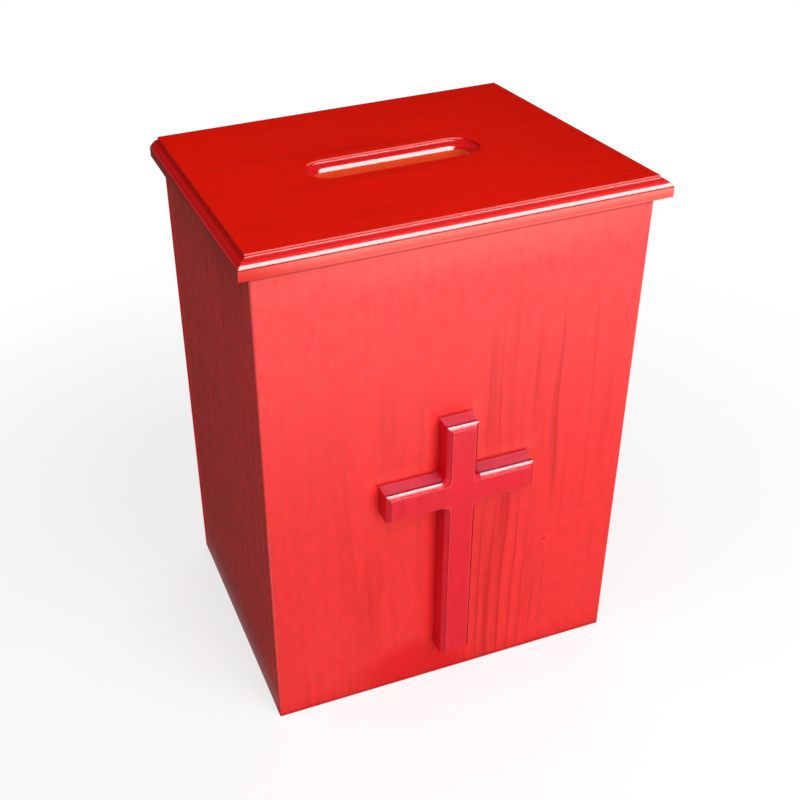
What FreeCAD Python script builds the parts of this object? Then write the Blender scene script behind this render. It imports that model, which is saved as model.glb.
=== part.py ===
import FreeCAD, Part
import math
import os

# Church donation box of stained pine boards, in millimetres. The front faces -Y, +X is to the
# right of someone facing the cross and +Z is up. The origin is the middle of the walls' footprint,
# on the surface that the box stands on.

vector = FreeCAD.Vector
right = vector(1, 0, 0)
rearward = vector(0, 1, 0)
up = vector(0, 0, 1)

# Walls, floor and lid
box_width = 300.0
box_depth = 235.0
wall_height = 410.0
wall_thickness = 15.0
wall_arris = 1.5
floor_thickness = 9.0
lid_thickness = 15.0
lid_side_overhang = 9.0
lid_front_overhang = 8.0
lid_back_overhang = 6.0

# Moulded edge round the lid: a step, a cove, a narrow ledge and a nose that bulges by a share of its slope
lid_step = 1.2
lid_cove = 1.2
lid_ledge = 0.8
lid_nose = 5.2
lid_bulge = 0.066
arris = 0.3

# Clear opening of the slot, how far it lies in front of the lid's middle, and its smaller moulding
slot_length = 126.0
slot_width = 24.0
slot_forward = 3.0
slot_step = 1.2
slot_cove = 1.2
slot_ledge = 0.8
slot_nose = 4.8
slot_bulge = 0.088

# Cross on the front wall, its moulding and the bevel round its back
cross_height = 226.8
cross_span = 122.0
cross_bar = 25.0
cross_thickness = 17.5
cross_foot_height = 36.8
cross_head = 49.1
cross_inner_corner = 5.0
cross_step = 0.7
cross_cove = 0.7
cross_ledge = 0.3
cross_nose = 2.0
cross_bulge = 0.03
cross_back_bevel = 0.6

# Frame of the back wall, its dowels and the strips that stop the door
stile_width = 40.0
top_rail_width = 60.0
bottom_rail_width = 60.0
dowel_radius = 4.0
dowel_length = 40.0
dowel_spacing = 30.0
door_gap = 2.0
stop_height = 20.0
stop_thickness = 10.0
stop_lap = 8.0

# Battens in the inner corners and cleats under the lid
batten_side = 15.0
cleat_height = 15.0
cleat_width = 15.0

# Wood screws
screw_radius = 1.75
screw_head_radius = 3.5
screw_head_depth = 2.2
screw_bite = 10.0
screw_sink = 0.4
lid_screw_spacing = 100.0
cleat_screw_spacing = 140.0
stop_screw_spacing = 120.0
cross_screw_inset = 35.0
recess_width = 0.8

# Butt hinges of the door
hinge_height = 40.0
hinge_inset = 45.0
hinge_leaf_width = 20.0
hinge_leaf_thickness = 1.5
hinge_knuckle_radius = 3.2
hinge_knuckle_count = 5
hinge_knuckle_gap = 0.3
hinge_pin_radius = 1.6
hinge_pin_head = 1.2
hinge_screw_radius = 1.3
hinge_screw_head_radius = 2.6
hinge_screw_head_depth = 1.3
hinge_screw_length = 12.0
hinge_screw_spacing = 24.0

# Cam lock of the door and its key
lock_edge_distance = 23.0
lock_barrel_radius = 8.0
lock_flange_radius = 11.0
lock_flange_thickness = 2.5
lock_plug_radius = 5.5
lock_plug_head_radius = 7.0
lock_plug_head_thickness = 1.5
lock_nut_across_flats = 22.0
lock_nut_thickness = 4.0
lock_barrel_proud = 1.0
cam_thickness = 2.0
cam_width = 14.0
cam_lap = 8.0
cam_corner = 3.0
tenon_side = 6.0
cam_washer_radius = 5.0
cam_washer_thickness = 1.0
cam_screw_radius = 1.75
cam_screw_head_radius = 3.5
cam_screw_head_height = 2.2
cam_screw_bite = 5.0
key_blade_length = 16.0
key_blade_width = 7.0
key_thickness = 2.0
key_neck = 3.0
key_bow_radius = 11.0
key_ring_hole_radius = 2.5
key_cut_depths = (1.2, 2.0, 0.8, 1.6)

# Clearances: a seated piece, a turning piece, and pieces that only pass each other
fit = 0.05
running = 0.05
passing = 0.3
cam_clearance = 0.5
overcut = 1.0

# Faces that the pieces share
side = box_width / 2
front = -box_depth / 2
back = box_depth / 2
inner_side = side - wall_thickness
inner_front = front + wall_thickness
inner_back = back - wall_thickness
lid_top = wall_height + lid_thickness
lid_side = side + lid_side_overhang
lid_front = front - lid_front_overhang
lid_back = back + lid_back_overhang
slot_middle = vector(0, (lid_front + lid_back) / 2 - slot_forward, 0)
cross_face = front - cross_thickness
cross_top = cross_foot_height + cross_height
opening_side = side - stile_width
opening_bottom = bottom_rail_width
opening_top = wall_height - top_rail_width
door_side = opening_side - door_gap
door_bottom = opening_bottom + door_gap
door_top = opening_top - door_gap
hinge_axis_x = opening_side - door_gap / 2
hinge_axis_y = back + passing + hinge_knuckle_radius
hinge_heights = {"lower": door_bottom + hinge_inset, "upper": door_top - hinge_inset}
lock_x = lock_edge_distance - door_side
lock_z = (door_bottom + door_top) / 2
lock_face = back + lock_flange_thickness
barrel_end = inner_back - lock_nut_thickness - lock_barrel_proud
cam_outer = barrel_end - passing
cam_inner = cam_outer - cam_thickness
washer_end = cam_inner - cam_washer_thickness


def block(x_span, y_span, z_span):
    corner = vector(x_span[0], y_span[0], z_span[0])
    return Part.makeBox(x_span[1] - x_span[0], y_span[1] - y_span[0], z_span[1] - z_span[0], corner)


def rod(radius, start, end):
    return Part.makeCylinder(radius, (end - start).Length, start, end - start)


def placed(shape, start, direction):
    # A shape drawn along +Z from the origin, moved to start and turned along direction.
    turned = shape.copy()
    turned.Placement = FreeCAD.Placement(start, FreeCAD.Rotation(up, direction))
    return turned


def chain(points):
    # Straight edges through the points in turn.
    return [Part.LineSegment(a, b).toShape() for a, b in zip(points, points[1:])]


def arc(start, middle, end):
    return Part.Arc(start, middle, end).toShape()


def moulding_face(place, step, cove, ledge, nose, bulge):
    # Section of what a moulding takes off an edge. place(inset, height) gives the point that far in
    # from the edge and that far above the face.
    width = nose + ledge + cove
    low = -step - cove
    foot = low - nose
    slant = math.sqrt(0.5)
    nose_middle = place(nose * (0.5 - bulge), low - nose * (0.5 - bulge))
    cove_middle = place(width - cove * (1 - slant), low + cove * (1 - slant))
    arris_middle = place(width + arris * (1 - slant), -arris * (1 - slant))
    edges = [
        arc(place(0, foot), nose_middle, place(nose, low)),
        *chain([place(nose, low), place(nose + ledge, low)]),
        arc(place(nose + ledge, low), cove_middle, place(width, -step)),
        *chain([place(width, -step), place(width, -arris)]),
        arc(place(width, -arris), arris_middle, place(width + arris, 0)),
        *chain([
            place(width + arris, 0),
            place(width + arris, overcut),
            place(-overcut, overcut),
            place(-overcut, foot),
            place(0, foot),
        ]),
    ]
    return Part.Face(Part.Wire(edges))


def lid_moulding(place):
    return moulding_face(place, lid_step, lid_cove, lid_ledge, lid_nose, lid_bulge)


def slot_moulding(place):
    return moulding_face(place, slot_step, slot_cove, slot_ledge, slot_nose, slot_bulge)


def cross_moulding(place):
    return moulding_face(place, cross_step, cross_cove, cross_ledge, cross_nose, cross_bulge)


def screw_blank(radius, head_radius, head_depth, length):
    # Countersunk screw along +Z, with the flat of its head at the origin and a crossed recess.
    tip = 2 * radius
    cone = Part.makeCone(head_radius, radius, head_depth)
    shank = rod(radius, vector(), up * (length - tip))
    point = Part.makeCone(radius, radius / 4, tip, up * (length - tip))
    screw = cone.fuse([shank, point]).removeSplitter()
    half, reach, depth = recess_width / 2, head_radius * 0.6, head_depth * 0.6
    recess = block((-half, half), (-reach, reach), (-depth, depth))
    return screw.cut([recess, block((-reach, reach), (-half, half), (-depth, depth))])


def screw_hole_blank(radius, head_radius, head_depth, length, sink):
    # Hole for such a screw, whose head lies sink below the surface.
    cone = Part.makeCone(head_radius + fit, radius + fit, head_depth, up * sink)
    mouth = rod(head_radius + fit, vector(0, 0, -overcut), up * sink)
    return cone.fuse([mouth, rod(radius + fit, vector(), up * (sink + length + fit))])


def wood_screws(places, direction, length):
    # Screws with their heads just under the surface at each place, and the holes that they need.
    sizes = (screw_radius, screw_head_radius, screw_head_depth, length - screw_sink)
    blank = screw_blank(*sizes)
    hole = screw_hole_blank(*sizes, screw_sink)
    screws = [placed(blank, p + direction * screw_sink, direction) for p in places]
    return screws, [placed(hole, p, direction) for p in places]


def spread(spacing):
    return (-spacing / 2, spacing / 2)


def lid_screw_set():
    x = inner_side - cleat_width / 2
    z = wall_height - cleat_height
    places = [vector(s * x, y, z) for s in (-1, 1) for y in spread(lid_screw_spacing)]
    return wood_screws(places, up, cleat_height + screw_bite)


def cleat_screw_set(sign):
    x = sign * (inner_side - cleat_width)
    z = wall_height - cleat_height / 2
    places = [vector(x, y, z) for y in spread(cleat_screw_spacing)]
    return wood_screws(places, right * sign, cleat_width + screw_bite)


def floor_screw_set():
    x = inner_side - batten_side / 2
    rows = (inner_front + batten_side / 2, inner_back - batten_side / 2)
    places = [vector(s * x, y, 0) for s in (-1, 1) for y in rows]
    return wood_screws(places, up, floor_thickness + screw_bite)


def cross_screw_set():
    heights = (cross_foot_height + cross_screw_inset, cross_top - cross_screw_inset)
    places = [vector(0, inner_front, z) for z in heights]
    return wood_screws(places, -rearward, wall_thickness + screw_bite)


def stop_screw_set(z):
    places = [vector(x, inner_back - stop_thickness, z) for x in spread(stop_screw_spacing)]
    return wood_screws(places, rearward, stop_thickness + screw_bite)


def hinge_screw_set(sign):
    x = hinge_axis_x + sign * (hinge_knuckle_radius + hinge_leaf_width) / 2
    leaf_face = back + hinge_leaf_thickness
    sizes = (hinge_screw_radius, hinge_screw_head_radius, hinge_screw_head_depth, hinge_screw_length)
    blank = screw_blank(*sizes)
    hole = screw_hole_blank(*sizes, 0)
    heights = [z + dz for z in hinge_heights.values() for dz in spread(hinge_screw_spacing)]
    places = [vector(x, leaf_face, z) for z in heights]
    screws = [placed(blank, p, -rearward) for p in places]
    return screws, [placed(hole, p, -rearward) for p in places]


def dowel_set():
    # Dowels across the four joints of the back frame, each half in a rail and half in a stile.
    middles = (bottom_rail_width / 2, wall_height - top_rail_width / 2)
    heights = [z + dz for z in middles for dz in spread(dowel_spacing)]
    y = back - wall_thickness / 2
    half = right * (dowel_length / 2)
    room = half + right * fit
    places = [vector(s * opening_side, y, z) for s in (-1, 1) for z in heights]
    dowels = [rod(dowel_radius, p - half, p + half) for p in places]
    return dowels, [rod(dowel_radius + fit, p - room, p + room) for p in places]


def front_panel(screw_holes):
    panel = block((-side, side), (front, inner_front), (0, wall_height))
    outer = [e for e in panel.Edges if abs(e.CenterOfMass.y - front) < fit
             and abs(abs(e.CenterOfMass.x) - side) < fit]
    return panel.makeFillet(wall_arris, outer).cut(screw_holes)


def side_panel(sign, screw_holes):
    x_span = sorted((sign * side, sign * inner_side))
    return block(x_span, (inner_front, inner_back), (0, wall_height)).cut(screw_holes)


def stile(sign, holes):
    x_span = sorted((sign * side, sign * opening_side))
    return block(x_span, (inner_back, back), (0, wall_height)).cut(holes)


def rail(z_span, holes):
    return block((-opening_side, opening_side), (inner_back, back), z_span).cut(holes)


def floor_board(screw_holes):
    board = block((-inner_side, inner_side), (inner_front, inner_back), (0, floor_thickness))
    return board.cut(screw_holes)


def corner_batten(x_sign, y_sign, screw_holes):
    x_span = sorted((x_sign * inner_side, x_sign * (inner_side - batten_side)))
    wall = inner_back if y_sign > 0 else inner_front
    y_span = sorted((wall, wall - y_sign * batten_side))
    return block(x_span, y_span, (floor_thickness, wall_height)).cut(screw_holes)


def lid_cleat(sign, screw_holes):
    x_span = sorted((sign * inner_side, sign * (inner_side - cleat_width)))
    y_span = (inner_front + batten_side, inner_back - batten_side)
    return block(x_span, y_span, (wall_height - cleat_height, wall_height)).cut(screw_holes)


def door_stop(z_low, screw_holes):
    y_span = (inner_back - stop_thickness, inner_back)
    return block((-door_side, door_side), y_span, (z_low, z_low + stop_height)).cut(screw_holes)


def slot_cutters():
    # The slot's straight middle and round ends, then its moulded edge on the same lines.
    radius = slot_width / 2
    half = slot_length / 2 - radius
    low = up * (wall_height - overcut)
    high = up * (lid_top + overcut)
    y_span = (slot_middle.y - radius, slot_middle.y + radius)
    cutters = [block((-half, half), y_span, (low.z, high.z))]
    for sign in (-1, 1):
        centre = slot_middle + right * sign * half
        cutters.append(rod(radius, centre + low, centre + high))
        edge = slot_moulding(lambda s, h: centre + rearward * -sign * (radius + s) + up * (lid_top + h))
        cutters.append(edge.revolve(centre, up, 180))
        cutters.append(edge.extrude(right * -sign * 2 * half))
    return cutters


def lid_board(screw_holes):
    board = block((-lid_side, lid_side), (lid_front, lid_back), (wall_height, lid_top))
    front_edge = lid_moulding(lambda s, h: vector(-lid_side - overcut, lid_front + s, lid_top + h))
    cutters = [front_edge.extrude(right * 2 * (lid_side + overcut))]
    for sign in (-1, 1):
        edge = lid_moulding(lambda s, h: vector(sign * (lid_side - s), lid_front - overcut, lid_top + h))
        cutters.append(edge.extrude(rearward * (lid_back - lid_front + 2 * overcut)))
    return board.cut(cutters + slot_cutters() + screw_holes)


def cross_corners():
    # Corners of the cross seen from the front, in turn anticlockwise from the foot's left.
    arm = cross_span / 2
    post = cross_bar / 2
    foot = cross_foot_height
    arm_top = cross_top - cross_head
    arm_bottom = arm_top - cross_bar
    right_half = [(post, foot), (post, arm_bottom), (arm, arm_bottom), (arm, arm_top),
                  (post, arm_top), (post, cross_top)]
    left_half = [(-x, z) for x, z in reversed(right_half)]
    return [vector(x, 0, z) for x, z in right_half + left_half]


def cross_outline():
    # Each straight side as its two ends, and each rounded inner corner as its centre and start.
    corners = cross_corners()
    count = len(corners)
    sides, bends = [], []
    starts, ends = list(corners), list(corners)
    for i, corner in enumerate(corners):
        before = (corners[i - 1] - corner).normalize()
        after = (corners[(i + 1) % count] - corner).normalize()
        if before.cross(after).y < 0:
            ends[i] = corner + before * cross_inner_corner
            starts[i] = corner + after * cross_inner_corner
            bends.append((corner + (before + after) * cross_inner_corner, ends[i], starts[i]))
    for i in range(count):
        sides.append((starts[i], ends[(i + 1) % count]))
    return sides, bends


def cross(screw_holes):
    sides, bends = cross_outline()
    edges = [Part.LineSegment(a, b).toShape() for a, b in sides]
    for centre, start, end in bends:
        inward = (start + end - centre * 2).normalize()
        edges.append(arc(start, centre + inward * cross_inner_corner, end))
    outline = Part.Face(Part.Wire(Part.__sortEdges__(edges)))
    outline.translate(rearward * front)
    blank = outline.extrude(rearward * -cross_thickness)
    back_edges = [e for e in blank.Edges if abs(e.CenterOfMass.y - front) < fit]
    blank = blank.makeChamfer(cross_back_bevel, back_edges)
    cutters = []
    for start, end in sides:
        inward = rearward.cross(end - start).normalize() * -1
        face = cross_moulding(lambda s, h: start + inward * s + rearward * (cross_face - h))
        cutters.append(face.extrude(end - start))
    for centre, start, end in bends:
        inward = (start - centre).normalize()
        face = cross_moulding(lambda s, h: start + inward * s + rearward * (cross_face - h))
        cutters.append(face.revolve(centre, rearward, 90))
    return blank.cut(cutters + screw_holes)


def hinge_leaf(sign, z_middle, screw_holes):
    # One leaf with its knuckles: the outer ones on the frame's side, those between on the door's.
    x = hinge_axis_x
    low = z_middle - hinge_height / 2
    clear = hinge_knuckle_radius + passing
    y_span = (back, back + hinge_leaf_thickness)
    x_span = sorted((x + sign * clear, x + sign * hinge_leaf_width))
    leaf = [block(x_span, y_span, (low, low + hinge_height))]
    web = sorted((x + sign * hinge_knuckle_radius / 2, x + sign * clear))
    pitch = hinge_height / hinge_knuckle_count
    for i in range(0 if sign > 0 else 1, hinge_knuckle_count, 2):
        z_span = (low + i * pitch + hinge_knuckle_gap / 2, low + (i + 1) * pitch - hinge_knuckle_gap / 2)
        leaf.append(block(web, y_span, z_span))
        ends = [vector(x, hinge_axis_y, z) for z in z_span]
        leaf.append(rod(hinge_knuckle_radius, *ends))
    bore = rod(hinge_pin_radius + running, vector(x, hinge_axis_y, low - overcut),
               vector(x, hinge_axis_y, low + hinge_height + overcut))
    return leaf[0].fuse(leaf[1:]).removeSplitter().cut([bore] + screw_holes)


def hinge_pin(z_middle):
    # The pin, with a flat domed head at each end of the knuckles.
    half = hinge_height / 2
    axis = vector(hinge_axis_x, hinge_axis_y, z_middle)
    pin = rod(hinge_pin_radius, axis - up * half, axis + up * half)
    heads = []
    for direction in (up, -up):
        start = axis + direction * half
        crown = hinge_knuckle_radius - hinge_pin_head
        heads.append(Part.makeCone(hinge_knuckle_radius, crown, hinge_pin_head, start, direction))
    return pin.fuse(heads).removeSplitter()


def lock_point(y):
    return vector(lock_x, y, lock_z)


def lock_housing():
    flange = rod(lock_flange_radius, lock_point(back), lock_point(lock_face))
    rim = [e for e in flange.Edges if abs(e.CenterOfMass.y - lock_face) < fit]
    flange = flange.makeFillet(lock_flange_thickness * 0.4, rim)
    barrel = rod(lock_barrel_radius, lock_point(barrel_end), lock_point(back))
    bore = rod(lock_plug_radius + running, lock_point(barrel_end), lock_point(lock_face))
    seat = rod(lock_plug_head_radius + running, lock_point(lock_face - lock_plug_head_thickness),
               lock_point(lock_face))
    return flange.fuse(barrel).cut([bore, seat])


def lock_hole():
    return rod(lock_barrel_radius + fit, lock_point(inner_back - overcut), lock_point(back + overcut))


def lock_nut():
    corner = lock_nut_across_flats / math.sqrt(3)
    angles = [math.radians(60 * i) for i in range(7)]
    points = [vector(corner * math.cos(a), corner * math.sin(a), 0) for a in angles]
    blank = Part.Face(Part.Wire(chain(points))).extrude(up * lock_nut_thickness)
    nut = placed(blank, lock_point(inner_back), -rearward)
    return nut.cut(rod(lock_barrel_radius + fit, lock_point(barrel_end), lock_point(back)))


def lock_plug():
    head = rod(lock_plug_head_radius, lock_point(lock_face - lock_plug_head_thickness), lock_point(lock_face))
    body = rod(lock_plug_radius, lock_point(cam_outer), lock_point(lock_face))
    half = tenon_side / 2
    tenon = block((lock_x - half, lock_x + half), (cam_inner, cam_outer), (lock_z - half, lock_z + half))
    plug = head.fuse([body, tenon]).removeSplitter()
    screw_hole = rod(cam_screw_radius + fit, lock_point(cam_inner), lock_point(cam_outer + cam_screw_bite))
    room = key_thickness / 2 + passing
    height = key_blade_width / 2 + passing
    keyway = block((lock_x - room, lock_x + room),
                   (lock_face - key_blade_length - passing, lock_face + overcut),
                   (lock_z - height, lock_z + height))
    return plug.cut([screw_hole, keyway])


def lock_cam():
    # A cranked strip that hangs down from the plug. Turned, its tip lies behind the stile.
    reach = lock_edge_distance + door_gap + cam_lap
    tip_inner = inner_back - cam_clearance - cam_thickness
    rise = tip_inner - cam_inner
    bend = lock_nut_across_flats / math.sqrt(3) + cam_thickness
    ease = cam_thickness * math.tan(math.radians(22.5))
    half = cam_width / 2
    profile = [
        (-half, cam_inner),
        (bend, cam_inner),
        (bend + rise, tip_inner),
        (reach, tip_inner),
        (reach, tip_inner + cam_thickness),
        (bend + rise - ease, tip_inner + cam_thickness),
        (bend - ease, cam_outer),
        (-half, cam_outer),
        (-half, cam_inner),
    ]
    points = [vector(lock_x - half, y, lock_z - drop) for drop, y in profile]
    strip = Part.Face(Part.Wire(chain(points))).extrude(right * cam_width)
    outline = block((lock_x - half, lock_x + half), (cam_inner, inner_back), (lock_z - reach, lock_z))
    corners = [e for e in outline.Edges if abs(e.CenterOfMass.z - lock_z + reach) < fit
               and abs(abs(e.CenterOfMass.x - lock_x) - half) < fit]
    outline = outline.makeFillet(cam_corner, corners)
    outline = outline.fuse(rod(half, lock_point(cam_inner), lock_point(inner_back)))
    side_room = tenon_side / 2 + fit
    tenon_hole = block((lock_x - side_room, lock_x + side_room), (cam_inner - overcut, cam_outer + overcut),
                       (lock_z - side_room, lock_z + side_room))
    return strip.common(outline).cut(tenon_hole)


def cam_washer():
    washer = rod(cam_washer_radius, lock_point(washer_end), lock_point(cam_inner))
    return washer.cut(rod(cam_screw_radius + fit, lock_point(washer_end), lock_point(cam_inner)))


def cam_screw():
    # Pan head with a crossed recess, screwed into the inner end of the plug.
    head_end = washer_end - cam_screw_head_height
    head = rod(cam_screw_head_radius, lock_point(head_end), lock_point(washer_end))
    rim = [e for e in head.Edges if abs(e.CenterOfMass.y - head_end) < fit]
    head = head.makeFillet(cam_screw_head_height * 0.5, rim)
    shank = rod(cam_screw_radius, lock_point(washer_end), lock_point(cam_outer + cam_screw_bite - fit))
    half = recess_width / 2
    reach = cam_screw_head_radius * 0.6
    depth = (head_end - overcut, head_end + cam_screw_head_height * 0.6)
    slots = [block((lock_x - a, lock_x + a), depth, (lock_z - b, lock_z + b))
             for a, b in ((half, reach), (reach, half))]
    return head.fuse(shank).cut(slots)


def key():
    # Flat key: a notched blade in the plug, a short neck and a round bow with a ring hole.
    tip = lock_face - key_blade_length
    neck_end = lock_face + key_neck
    bow_y = neck_end + key_bow_radius - passing
    x_span = (lock_x - key_thickness / 2, lock_x + key_thickness / 2)
    half = key_blade_width / 2
    blade = block(x_span, (tip, bow_y), (lock_z - half, lock_z + half))
    bow_start = vector(x_span[0], bow_y, lock_z)
    bow = rod(key_bow_radius, bow_start, bow_start + right * key_thickness)
    hole_start = bow_start + rearward * (key_bow_radius - 2 * key_ring_hole_radius) - right * overcut
    cutters = [rod(key_ring_hole_radius, hole_start, hole_start + right * (key_thickness + 2 * overcut))]
    pitch = key_blade_length / (len(key_cut_depths) + 1)
    for i, depth in enumerate(key_cut_depths):
        middle = tip + (i + 0.75) * pitch
        edge = lock_z - half
        notch = [vector(x_span[0], middle - depth, edge), vector(x_span[0], middle, edge + depth),
                 vector(x_span[0], middle + depth, edge), vector(x_span[0], middle - depth, edge)]
        cutters.append(Part.Face(Part.Wire(chain(notch))).extrude(right * key_thickness))
    return blade.fuse(bow).removeSplitter().cut(cutters)


def rear_door(screw_holes):
    door = block((-door_side, door_side), (inner_back, back), (door_bottom, door_top))
    return door.cut(screw_holes + [lock_hole()])


def wall_nodes():
    lid_screws, lid_holes = lid_screw_set()
    floor_screws, floor_holes = floor_screw_set()
    cross_screws, cross_holes = cross_screw_set()
    nodes = {
        "front_panel": front_panel(cross_holes),
        "cross": cross(cross_holes),
        "bottom_board": floor_board(floor_holes),
        "lid_board": lid_board(lid_holes),
    }
    cleat_screws = []
    for sign, name in ((-1, "left"), (1, "right")):
        screws, holes = cleat_screw_set(sign)
        cleat_screws += screws
        nodes[name + "_side_panel"] = side_panel(sign, holes)
        nodes["lid_cleat_" + name] = lid_cleat(sign, holes + lid_holes)
        for y_sign, place in ((-1, "front"), (1, "back")):
            nodes[f"corner_batten_{place}_{name}"] = corner_batten(sign, y_sign, floor_holes)
    groups = {"lid_screws": lid_screws, "bottom_screws": floor_screws, "cross_screws": cross_screws,
              "cleat_screws": cleat_screws}
    return nodes | {name: Part.makeCompound(screws) for name, screws in groups.items()}


def back_frame_nodes():
    dowels, dowel_holes = dowel_set()
    frame_screws, frame_holes = hinge_screw_set(1)
    lower_stop_z = opening_bottom + stop_lap - stop_height
    upper_stop_z = opening_top - stop_lap
    behind_rail = (stop_height - stop_lap) / 2
    lower_screws, lower_holes = stop_screw_set(opening_bottom - behind_rail)
    upper_screws, upper_holes = stop_screw_set(opening_top + behind_rail)
    nodes = {
        "back_left_stile": stile(-1, dowel_holes),
        "back_right_stile": stile(1, dowel_holes + frame_holes),
        "back_bottom_rail": rail((0, opening_bottom), dowel_holes + lower_holes),
        "back_top_rail": rail((opening_top, wall_height), dowel_holes + upper_holes),
        "back_frame_dowels": Part.makeCompound(dowels),
        "door_stop_lower": door_stop(lower_stop_z, lower_holes),
        "door_stop_upper": door_stop(upper_stop_z, upper_holes),
        "door_stop_screws": Part.makeCompound(lower_screws + upper_screws),
        "hinge_frame_screws": Part.makeCompound(frame_screws),
    }
    for name, z in hinge_heights.items():
        nodes[f"hinge_{name}_frame_leaf"] = hinge_leaf(1, z, frame_holes)
        nodes[f"hinge_{name}_pin"] = hinge_pin(z)
    return nodes


def door_nodes():
    door_screws, door_holes = hinge_screw_set(-1)
    nodes = {
        "rear_door": rear_door(door_holes),
        "hinge_door_screws": Part.makeCompound(door_screws),
        "lock_housing": lock_housing(),
        "lock_nut": lock_nut(),
        "lock_plug": lock_plug(),
        "lock_cam": lock_cam(),
        "lock_cam_washer": cam_washer(),
        "lock_cam_screw": cam_screw(),
        "key": key(),
    }
    for name, z in hinge_heights.items():
        nodes[f"hinge_{name}_door_leaf"] = hinge_leaf(-1, z, door_holes)
    return nodes


os.makedirs("parts", exist_ok=True)
for node, shape in (wall_nodes() | back_frame_nodes() | door_nodes()).items():
    shape.exportStep(f"parts/{node}.step")
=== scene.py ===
import math

import bmesh
import bpy
from mathutils import Matrix, Vector


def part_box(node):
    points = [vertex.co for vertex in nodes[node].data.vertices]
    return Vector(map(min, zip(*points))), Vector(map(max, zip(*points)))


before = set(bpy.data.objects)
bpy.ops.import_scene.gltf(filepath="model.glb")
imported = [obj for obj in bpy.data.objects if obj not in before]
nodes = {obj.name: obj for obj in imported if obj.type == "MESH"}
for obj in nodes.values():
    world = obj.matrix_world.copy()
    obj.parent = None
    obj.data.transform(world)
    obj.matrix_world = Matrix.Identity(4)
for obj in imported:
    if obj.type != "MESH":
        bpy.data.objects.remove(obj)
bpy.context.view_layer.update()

print("frame loaded:", len(nodes), "nodes")


class Wire:
    # a shader socket that takes part in Python expressions
    def __init__(self, tree, socket=None):
        self.tree = tree
        self.socket = socket

    def node(self, kind, settings=None, sockets=None, out=0):
        made = self.tree.nodes.new(kind)
        for name, value in (settings or {}).items():
            if name == "stops":
                stops = made.color_ramp.elements
                while len(stops) < len(value):
                    stops.new(0.5)
                for stop, (position, level) in zip(stops, value):
                    stop.position = position
                    stop.color = (level, level, level, 1.0)
            else:
                setattr(made, name, value)
        for key, value in (sockets or {}).items():
            if isinstance(value, Wire):
                self.tree.links.new(value.socket, made.inputs[key])
            else:
                made.inputs[key].default_value = value
        return Wire(self.tree, made.outputs[out] if len(made.outputs) else None)

    def also(self, out):
        return Wire(self.tree, self.socket.node.outputs[out])

    def maths(self, operation, *terms):
        return self.node("ShaderNodeMath", {"operation": operation}, dict(enumerate(terms)))

    def __add__(self, other):
        return self.maths("ADD", self, other)

    __radd__ = __add__

    def __sub__(self, other):
        return self.maths("SUBTRACT", self, other)

    def __rsub__(self, other):
        return self.maths("SUBTRACT", other, self)

    def __mul__(self, other):
        return self.maths("MULTIPLY", self, other)

    __rmul__ = __mul__

    def __truediv__(self, other):
        return self.maths("DIVIDE", self, other)

    def __pow__(self, other):
        return self.maths("POWER", self, other)

    def __abs__(self):
        return self.maths("ABSOLUTE", self)

    def least(self, other):
        return self.maths("MINIMUM", self, other)

    def most(self, other):
        return self.maths("MAXIMUM", self, other)

    def clamp(self):
        return self.most(0.0).least(1.0)

    # 0 below low, 1 above high, with a soft step between; low may be the larger
    def step(self, low, high):
        return self.node("ShaderNodeMapRange", {"interpolation_type": "SMOOTHSTEP"},
                         {"Value": self, "From Min": low, "From Max": high})

    # 1 within inner of the middle, 0 beyond outer
    def near(self, middle, outer, inner):
        return abs(self - middle).step(outer, inner)

    # a noise about zero
    def swing(self):
        return self - 0.5

    # 0 to 1 becomes low to 1
    def lifted(self, low):
        return self * (1 - low) + low

    # less by a share where the mask is 1
    def less(self, mask, share):
        return self * (1 - mask * share)

    def curve(self, stops):
        return self.node("ShaderNodeValToRGB", {"stops": stops}, {"Fac": self})

    def tint(self, first, second):
        return self.node("ShaderNodeMix", {"data_type": "RGBA"},
                         {0: self, 6: first, 7: second}, out=2)

    def noise(self, stretch, seed, detail, roughness):
        shift = (seed, seed * 1.7, seed * 0.6)  # each axis by another amount
        scaled = self.node("ShaderNodeVectorMath", {"operation": "MULTIPLY_ADD"},
                           {0: self, 1: stretch, 2: shift})
        return self.node("ShaderNodeTexNoise", {}, {"Vector": scaled, "Scale": 1.0, "Detail": detail,
                                                    "Roughness": roughness})

    # setup: stretch along the axes, offset of the seed, detail, roughness
    def pattern(self, setup, seed):
        stretch, offset, detail, roughness = setup
        return self.noise(stretch, seed + offset, detail, roughness)

    def place(self):
        return self.node("ShaderNodeTexCoord", {}, {}, "Object")

    def split(self):
        parts = self.node("ShaderNodeSeparateXYZ", {}, {0: self})
        return parts, parts.also("Y"), parts.also("Z")

    def bump(self, strength, distance):
        return self.node("ShaderNodeBump", {}, {"Strength": strength, "Distance": distance, "Height": self})


def startMaterial(name):
    material = bpy.data.materials.new(name)
    material.use_nodes = True
    material.node_tree.nodes.clear()
    return material, Wire(material.node_tree)


def closeMaterial(wire, sockets):
    shader = wire.node("ShaderNodeBsdfPrincipled", {}, sockets)
    wire.node("ShaderNodeOutputMaterial", {}, {"Surface": shader})


def dress(name, material):
    meshSlots = nodes[name].data.materials
    meshSlots.clear()
    meshSlots.append(material)


def rgb(red, green, blue):
    return (red, green, blue, 1.0)


# camera, read from the photograph's edges
cameraSetup = {
    "azimuth": -16.078, "elevation": 31.262, "distance": 0.8804, "roll": -3.788,
    "target": (-0.1071, 0.0, 0.2649), "focalPixels": 1094.8, "centrePixel": (267.9, 366.8),
    "imagePixels": 800.0, "sensor": 36.0, "farthest": 100.0,
}


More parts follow.
